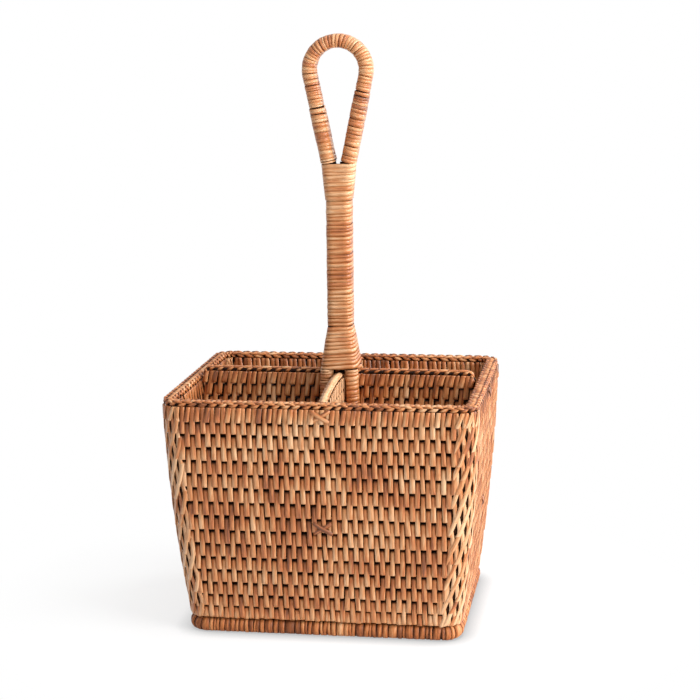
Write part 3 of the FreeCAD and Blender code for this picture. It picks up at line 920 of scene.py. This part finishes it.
class Handle:
    """The lines that the handle's peel follows, in millimetres, read from its nodes."""

    def __init__(self, basket):
        self.cover = POLE_RADIUS + PEEL
        self.offset = HALF_APART
        self.flare, self.stem, self.collar = (
            [corner.z for corner in box_mm(name + "_binding")]
            for name in ("flare", "stem", "collar"))
        self.crossing = basket.crossing
        flare_high = box_mm("flare_binding")[1]
        self.leg_half = (flare_high.x - self.crossing, flare_high.y)
        self.floor = box_mm("front_left_leg_binding")[0].z
        self.leg_low = box_mm("front_right_leg_binding")[1].x - self.crossing - self.cover
        loop_high = box_mm("loop_top_binding")[1]
        self.loop_radius = loop_high.x - self.crossing - self.cover
        self.loop_centre = loop_high.z - self.cover - self.loop_radius
        self.merge = self.collar[0] + MERGED_BELOW
        rise = self.loop_centre - self.merge
        distance = math.hypot(self.offset, rise)
        self.lean = math.asin(self.loop_radius / distance) - math.atan2(self.offset, rise)
        self.touch_x = self.loop_radius * math.cos(self.lean)
        self.touch_z = self.loop_centre - self.loop_radius * math.sin(self.lean)

    def spot(self, x, y, z):
        """A place by its distance from the handle's own middle."""
        return stacked(x + self.crossing, y, z)

    def side_offset(self, z):
        """How far a straight side of the loop stands from the handle's middle at a height."""
        share = (z - self.merge) / (self.touch_z - self.merge)
        return self.offset + share * (self.touch_x - self.offset)


def wrap_upright(handle, ends, half_low, half_high, cover, pitch, rng, tilt, tone):
    """Turns round an upright bundle whose section may change from its low end to its high end."""
    low, high = ends

    def surface(travel, round_, out, lean):
        share = np.clip((travel - low) / (high - low), 0.0, 1.0)
        half_x, half_y = (first + (last - first) * share for first, last in zip(half_low, half_high))
        girth = section_girth(half_x, half_y, cover)
        x, y = rounded_section(round_ * girth, half_x, half_y, cover, out)
        return handle.spot(x, y, np.clip(travel + lean * x, low, high))

    girth = section_girth(*half_low, cover)
    return wind(Winding(low, high, pitch, rng), 36, girth, surface, tone, tilt=tilt)


def wrap_leg(handle, side_x, side_y, pitch, rng):
    """Turns round one leg, which leans out a little towards its top."""
    low, high = handle.floor, handle.flare[0] - 0.1
    x_high, y = (half - handle.cover for half in handle.leg_half)

    def surface(travel, round_, out, lean):
        angle = 2.0 * math.pi * round_
        share = (travel - low) / (high - low)
        x = handle.leg_low + (x_high - handle.leg_low) * share
        away = (handle.cover + out) * np.cos(angle)
        aside = (handle.cover + out) * np.sin(angle)
        z = np.clip(travel + lean * away * 3.0, low, high)
        return handle.spot(side_x * x + away, side_y * y + aside, z)

    girth = 2.0 * math.pi * handle.cover
    return wind(Winding(low, high, pitch, rng), 18, girth, surface, 0.45, seam=0.3)


def wrap_loop(handle, start, end, cover, pitch, rng, tone):
    """Turns along the loop. start and end are travel from its left foot, or back from its right."""
    foot_z = handle.collar[1] + 0.1
    foot_x = handle.side_offset(foot_z)
    straight = math.hypot(handle.touch_x - foot_x, handle.touch_z - foot_z)
    slope_x = (handle.touch_x - foot_x) / straight
    slope_z = (handle.touch_z - foot_z) / straight
    total = 2.0 * straight + handle.loop_radius * (math.pi + 2.0 * handle.lean)
    first = start if start >= 0 else total + start
    last = end if end > 0 else total + end
    half_b = handle.offset + cover

    def surface(travel, round_, out, lean):
        rounding = cover * 0.999
        girth = section_girth(cover, half_b, rounding)
        a, b = rounded_section(round_ * girth, cover, half_b, rounding, out)
        travel = np.clip(travel + lean * b * 2.0, first, last)
        on_right = travel > 0.5 * total
        travel = np.where(on_right, total - travel, travel)
        run = np.minimum(travel, straight)
        bent = np.maximum(travel - straight, 0.0)
        turn = handle.lean - bent / handle.loop_radius
        sideways, rising = np.cos(turn), -np.sin(turn)
        arc_x = (handle.loop_radius + a) * sideways
        arc_z = handle.loop_centre + (handle.loop_radius + a) * rising
        x = np.where(bent > 0, arc_x, foot_x + slope_x * run + a * slope_z)
        z = np.where(bent > 0, arc_z, foot_z + slope_z * run - a * slope_x)
        x = np.where(on_right, x, -x)
        return handle.spot(x, b, np.maximum(z, handle.collar[1] + 0.02))

    girth = section_girth(cover, half_b, cover)
    return wind(Winding(first, last, pitch, rng, 0.24), 32, girth, surface, tone, thickness=0.4, seam=0.5)


# ---- floor and lashings

def floor_lacing(rng):
    """Peel laced over pairs of floor rods, above and below."""
    low, high = box_mm("floor_weave")
    rods_low, rods_high = box_mm("floor_rods")
    pair_pitch, past_rods, corner = 5.8, 0.5, 8.0
    count = int(round((rods_high.y - rods_low.y) / pair_pitch))
    last = rods_high.y + past_rods
    lines = np.linspace(rods_low.y - past_rods, last, count + 1)
    half = high.x - 0.6
    reach = half - 1.6
    pitch = reach / round(reach / 3.6)
    runs = columns(reach + 0.01, pitch)
    meshes = []

    def on_mat(run, y):
        past_x = max(abs(run) - (half - corner), 0.0)
        past_y = max(abs(y) - (last - corner), 0.0)
        return math.hypot(past_x, past_y) < corner

    for level, facing in ((high.z, 1.0), (low.z, -1.0)):

        def surface(run, y, out):
            return stacked(run, np.clip(y, -last, last), level + facing * np.minimum(out, -0.02))

        stitches = Stitches(runs, lines, on_mat, rng)
        meshes.append(face_mesh(stitches, StitchCut(0.46 * pitch, tone_shift=-0.1), surface))
    return meshes


def lashing_strips(basket, side, rng):
    """Two crossed strips of peel at each place where a divider is tied to a wall."""
    low, high = (corner.z for corner in box_mm(SIDES[side] + "_lashings"))
    width, height, strip_width = 13.5, 8.4, 2.7
    inset = 0.5 * height
    blank = Blank(8, 6)
    off_middle = (blank.along - 0.5)[None, :]
    along = off_middle * (width + 1.0)
    across = blank.across * 0.5 * strip_width * (0.72 + 0.28 * np.cos(off_middle * 2.2))
    ends_sink = 1.1 * np.abs(2.0 * off_middle) ** 3
    # painted shade: the strips darken towards their undersides, outlining them
    painted_light = np.clip(0.1 + 0.9 * blank.lift, 0.0, 1.0)[None, :]
    meshes = []
    for middle in (high - inset + 0.8, low + inset + 0.8):
        for lean, lift in ((1.0, 0.3), (-1.0, 0.85)):
            angle = lean * math.atan2(height, width)
            run = along * math.cos(angle) - across * math.sin(angle)
            up = middle + along * math.sin(angle) + across * math.cos(angle)
            out = lift + 0.5 * blank.lift - ends_sink
            run = run + basket.crossing * (1, 0, -1, 0)[side]
            tone = np.full((1, 1), 0.3 + 0.16 * rng.random())
            age = np.full((1, 1), rng.random())
            place = basket.point(side, run, up, out)
            meshes.append(lay("strip", blank, place, along, across, tone, painted_light, age))
    return meshes


# ---- operators, one for each piece

class CADDY_OT_rods(bpy.types.Operator):
    """Gives the bare rods and poles of the frame their rattan finish"""
    bl_idname = "caddy.rods"
    bl_label = "Rods and Poles"

    def execute(self, context):
        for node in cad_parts.values():
            node.data.materials.clear()
            node.data.materials.append(finished("rattan_rod"))
        return {"FINISHED"}


class CADDY_OT_walls(bpy.types.Operator):
    """Stitches peel over the rods of the four straight walls"""
    bl_idname = "caddy.walls"
    bl_label = "Wall Stitches"

    def execute(self, context):
        basket = Basket()
        pitch = context.scene.caddy_peel.column_pitch / MM
        for side, name in enumerate(SIDES):
            meshes = wall_side(basket, side, pitch, np.random.default_rng(11 + side))
            add_piece(name + "_wall_stitches", meshes, "woven_peel", name + "_wall_weave")
        return {"FINISHED"}


class CADDY_OT_corners(bpy.types.Operator):
    """Crosses thin strands of peel round the four corners"""
    bl_idname = "caddy.corners"
    bl_label = "Corner Lattice"

    def execute(self, context):
        basket = Basket()
        for corner, name in enumerate(CORNERS):
            meshes = corner_lattice(basket, corner, np.random.default_rng(31 + corner))
            add_piece(name + "_corner_lattice", meshes, "woven_peel", name + "_corner_weave")
        return {"FINISHED"}


class CADDY_OT_rim(bpy.types.Operator):
    """Plaits the rim over its rod"""
    bl_idname = "caddy.rim"
    bl_label = "Rim Plait"

    def execute(self, context):
        pitch = context.scene.caddy_peel.plait_pitch / MM
        meshes = plait_rim(Basket(), pitch, np.random.default_rng(41))
        add_piece("rim_plait", meshes, "rim_peel", "rim_braid")
        return {"FINISHED"}


class CADDY_OT_foot(bpy.types.Operator):
    """Winds peel round the foot ring"""
    bl_idname = "caddy.foot"
    bl_label = "Foot Ring Turns"

    def execute(self, context):
        pitch = context.scene.caddy_peel.foot_turn_pitch / MM
        mesh = foot_ring_turns(Basket(), pitch, np.random.default_rng(51))
        add_piece("foot_ring_turns", [mesh], "foot_peel", "foot_ring_binding")
        return {"FINISHED"}


class CADDY_OT_long_divider(bpy.types.Operator):
    """Stitches the long divider and twists a rope over it"""
    bl_idname = "caddy.long_divider"
    bl_label = "Long Divider"

    def execute(self, context):
        pitch = context.scene.caddy_peel.column_pitch / MM
        high = box_mm("long_divider_rim")[1]
        shoulder = 6.0

        def top_at(run):
            return high.z - ROPE_DEPTH - fallen(abs(run) - (high.x - shoulder), shoulder)

        ends = (-high.x + CLEAR_OF_WALL, high.x - CLEAR_OF_WALL)
        rng = np.random.default_rng(61)
        cut = StitchCut(0.48 * pitch, lean=0.09)
        stitches = divider_stitches(Basket(), 0, ends, top_at, stacked, rng, pitch, cut)
        line = [(run, top_at(run) + ROPE_DEPTH) for run in np.linspace(-high.x, high.x, 160)]
        rope = rope_rim(line, high.y, ROPE_DEPTH, 6.4, stacked, rng)
        add_divider("long_divider", "inner_peel", stitches, rope)
        return {"FINISHED"}


class CADDY_OT_half_dividers(bpy.types.Operator):
    """Stitches the two half dividers, which arch up to the handle, and twists a rope over each"""
    bl_idname = "caddy.half_dividers"
    bl_label = "Half Dividers"

    def execute(self, context):
        basket = Basket()
        pitch = context.scene.caddy_peel.column_pitch / MM
        wall_height = basket.rim_height - 0.5
        end_height = basket.rim_height + 5.0
        arch, shoulder = 2.3, 7.5
        # painted light: tone_shift 0.34 lightens these faces, which face the strong light from the right
        cut = StitchCut(0.53 * pitch, tone_shift=0.34, lean=0.09, crown=0.3, relief=0.25)

        def spot(run, away, up):
            return stacked(basket.crossing - away, run, up)

        for seed, name, sign in ((71, "front_divider", -1.0), (72, "back_divider", 1.0)):
            low, high = box_mm(name + "_rim")
            inner, outer = sorted((abs(low.y), abs(high.y)))

            def top_at(run):
                along = abs(run) - inner - shoulder
                share = min(max(along / (outer - inner - shoulder), 0.0), 1.0)
                height = end_height + (wall_height - end_height) * share
                height += 4.0 * arch * share * (1.0 - share)
                return min(height, high.z) - fallen(-along, shoulder) - ROPE_DEPTH

            ends = sorted((sign * (inner + CLEAR_OF_WALL), sign * (outer - CLEAR_OF_WALL)))
            rng = np.random.default_rng(seed)
            stitches = divider_stitches(basket, 1, ends, top_at, spot, rng, pitch, cut)
            line = [(run, top_at(run) + ROPE_DEPTH) for run in np.linspace(*ends, 80)]
            half_width = 0.5 * (high.x - low.x)
            rope = rope_rim(line, half_width, ROPE_DEPTH, 5.2, spot, rng, 0.85)
            add_divider(name, "woven_peel", stitches, rope)
        return {"FINISHED"}


class CADDY_OT_floor(bpy.types.Operator):
    """Laces peel over the floor rods, above and below"""
    bl_idname = "caddy.floor"
    bl_label = "Floor Lacing"

    def execute(self, context):
        meshes = floor_lacing(np.random.default_rng(111))
        add_piece("floor_lacing", meshes, "inner_peel", "floor_weave")
        return {"FINISHED"}


class CADDY_OT_lashings(bpy.types.Operator):
    """Ties crossed strips of peel where the dividers meet the walls"""
    bl_idname = "caddy.lashings"
    bl_label = "Lashings"

    def execute(self, context):
        basket = Basket()
        for side, name in enumerate(SIDES):
            meshes = lashing_strips(basket, side, np.random.default_rng(121 + side))
            add_piece(name + "_lashing_strips", meshes, "lashing_peel", name + "_lashings")
        return {"FINISHED"}


class CADDY_OT_legs(bpy.types.Operator):
    """Winds peel round the four legs of the handle"""
    bl_idname = "caddy.legs"
    bl_label = "Leg Turns"

    def execute(self, context):
        handle = Handle(Basket())
        pitch = context.scene.caddy_peel.turn_pitch / MM
        legs = (("front_left", -1, -1), ("front_right", 1, -1), ("back_left", -1, 1), ("back_right", 1, 1))
        for number, (name, side_x, side_y) in enumerate(legs):
            mesh = wrap_leg(handle, side_x, side_y, pitch, np.random.default_rng(81 + number))
            bind(name + "_leg", mesh)
        return {"FINISHED"}


class CADDY_OT_stem(bpy.types.Operator):
    """Winds peel round the flare, the stem and the collar of the handle"""
    bl_idname = "caddy.stem"
    bl_label = "Stem Turns"

    def execute(self, context):
        handle = Handle(Basket())
        pitch = context.scene.caddy_peel.turn_pitch / MM
        half = handle.offset + handle.cover
        thick = half + THICKER
        spread = handle.side_offset(handle.collar[1]) + handle.cover + THICKER
        rng = np.random.default_rng(91)
        parts = (
            ("flare", handle.flare, handle.leg_half, (half, half), handle.cover, 0.05, 0.43),
            ("stem", handle.stem, (half, half), (half, half), handle.cover, 0.0, 0.45),
            ("collar", handle.collar, (thick, thick), (spread, thick), handle.cover + THICKER, 0.0, 0.34),
        )
        for name, ends, half_low, half_high, cover, tilt, tone in parts:
            mesh = wrap_upright(handle, ends, half_low, half_high, cover, pitch, rng, tilt, tone)
            bind(name, mesh)
        return {"FINISHED"}


class CADDY_OT_loop(bpy.types.Operator):
    """Winds peel round the loop of the handle, thicker up each side than over the top"""
    bl_idname = "caddy.loop"
    bl_label = "Loop Turns"

    def execute(self, context):
        handle = Handle(Basket())
        pitch = context.scene.caddy_peel.turn_pitch / MM
        left, right = (
            (box_mm(name)[1].z - handle.collar[1]) / math.cos(handle.lean)
            for name in ("loop_left_binding", "loop_right_binding"))
        thick = handle.cover + THICKER
        rng = np.random.default_rng(101)
        parts = (
            ("loop_left", 0.0, left, thick, pitch, 0.5),
            ("loop_right", -right, 0.0, thick, pitch, 0.26),
            ("loop_top", left, -right, handle.cover, 0.8 * pitch, 0.42),
        )
        for name, start, end, cover, turn_pitch, tone in parts:
            mesh = wrap_loop(handle, start, end, cover, turn_pitch, rng, tone)
            bind(name, mesh)
        return {"FINISHED"}


# ---- floor, light and camera

def set_floor(scene):
    """A pale floor that runs into a white background and keeps the caddy's shadow, with a painted contact
    shadow close round it.
    """
    bm = bmesh.new()
    bmesh.ops.create_grid(bm, x_segments=1, y_segments=1, size=6.0)
    mesh = bpy.data.meshes.new("floor")
    bm.to_mesh(mesh)
    bm.free()
    floor = bpy.data.objects.new("floor", mesh)
    scene.collection.objects.link(floor)
    paint = bpy.data.materials.new("floor_paint")
    mesh.materials.append(paint)
    finish = Finish(paint)

    def matt(grey):
        return finish.principled(
            Base_Color=(grey, grey, grey, 1.0), Roughness=0.9, Specular_IOR_Level=0.0)

    def glow(strength):
        return finish.node("ShaderNodeEmission", None, {"Strength": strength})

    def mixed(share, first, second):
        return finish.node("ShaderNodeMixShader", None, {0: share, 1: first, 2: second})

    lit = finish.node("ShaderNodeAddShader", None, {0: matt(0.24), 1: glow(0.79)})
    # painted contact shadow: where ambient occlusion finds the caddy close by, the floor's glow drops to
    # 0.54
    openness = finish.node(
        "ShaderNodeAmbientOcclusion", {"samples": 16}, {"Distance": 0.016}, "AO")
    near = mixed(finish.spread(openness, 0.36, 0.96), glow(0.54), lit)
    place = finish.node("ShaderNodeTexCoord", None, None, "Object")
    away = finish.node("ShaderNodeVectorMath", {"operation": "LENGTH"}, {0: place}, "Value")
    shown = mixed(finish.spread(away, 0.14, 0.24), near, glow(1.0))
    finish.surface(mixed(finish.seen(), matt(0.86), shown))


def set_light(scene):
    """Soft lamps round the caddy, and a white background that lights it only faintly."""
    world = bpy.data.worlds.new("studio")
    scene.world = world
    finish = Finish(world)
    room, white = (
        finish.node("ShaderNodeBackground", None, {"Color": (1, 1, 1, 1), "Strength": strength})
        for strength in (0.2, 1.0))
    shown = finish.node("ShaderNodeMixShader", None, {0: finish.seen(), 1: room, 2: white})
    finish.surface(shown, "ShaderNodeOutputWorld")
    lamps = (
        ("right_softbox", (1.5, -0.5, 0.76), 1.2, 44.0),
        ("rear_softbox", (1.2, 1.0, 0.8), 0.7, 14.0),
        ("front_softbox", (-0.35, -1.6, 0.8), 0.9, 3.3),
        ("top_softbox", (0.1, -0.1, 1.6), 0.9, 8.2),
    )
    aimed_at = Vector((0.0, 0.0, 0.15))
    for name, place, size, power in lamps:
        lamp = bpy.data.lights.new(name, "AREA")
        lamp.size = size
        lamp.energy = power
        holder = bpy.data.objects.new(name, lamp)
        scene.collection.objects.link(holder)
        holder.location = place
        holder.rotation_euler = (aimed_at - Vector(place)).to_track_quat("-Z", "Y").to_euler()


def set_camera(scene):
    """A long lens from the front, a little to the right and above."""
    lens = bpy.data.cameras.new("camera")
    lens.sensor_width = 36.0
    lens.lens = 96.62
    lens.clip_end = 20.0
    camera = bpy.data.objects.new("camera", lens)
    scene.collection.objects.link(camera)
    place = Matrix.Translation((0.19779, -1.18474, 0.40169))
    yaw, pitch, roll = 0.15871, 0.19001, -0.01144
    turns = ((yaw, "Z"), (QUARTER_TURN - pitch, "X"), (roll, "Z"))
    for angle, axis in turns:
        place = place @ Matrix.Rotation(angle, 4, axis)
    camera.matrix_world = place
    scene.camera = camera
    scene.view_settings.view_transform = "Standard"


class CADDY_OT_stage(bpy.types.Operator):
    """Sets the caddy on a pale floor in soft light and places the camera"""
    bl_idname = "caddy.stage"
    bl_label = "Floor, Light and Camera"

    def execute(self, context):
        set_floor(context.scene)
        set_light(context.scene)
        set_camera(context.scene)
        return {"FINISHED"}


# ---- the add-on

class CADDY_PT_panel(bpy.types.Panel):
    """A button for each operator, in the order in which they are run"""
    bl_label = "Rattan Cutlery Caddy"
    bl_idname = "CADDY_PT_panel"
    bl_space_type = "VIEW_3D"
    bl_region_type = "UI"
    bl_category = "Caddy"

    def draw(self, context):
        for kind in OPERATORS:
            self.layout.operator(kind.bl_idname)


GROUPS = (
    ("caddy_basket", BasketSizes),
    ("caddy_peel", PeelSizes),
    ("caddy_colours", PeelColours),
)
OPERATORS = (
    CADDY_OT_rods, CADDY_OT_walls, CADDY_OT_corners, CADDY_OT_rim, CADDY_OT_foot,
    CADDY_OT_long_divider, CADDY_OT_half_dividers, CADDY_OT_floor, CADDY_OT_lashings,
    CADDY_OT_legs, CADDY_OT_stem, CADDY_OT_loop, CADDY_OT_stage,
)


def register():
    for name, group in GROUPS:
        bpy.utils.register_class(group)
        setattr(bpy.types.Scene, name, PointerProperty(type=group))
    for kind in (*OPERATORS, CADDY_PT_panel):
        bpy.utils.register_class(kind)


def unregister():
    for kind in reversed((*OPERATORS, CADDY_PT_panel)):
        bpy.utils.unregister_class(kind)
    for name, group in reversed(GROUPS):
        delattr(bpy.types.Scene, name)
        bpy.utils.unregister_class(group)


def main():
    register()
    for kind in OPERATORS:
        family, action = kind.bl_idname.split(".")
        getattr(getattr(bpy.ops, family), action)()


if __name__ == "__main__":
    main()
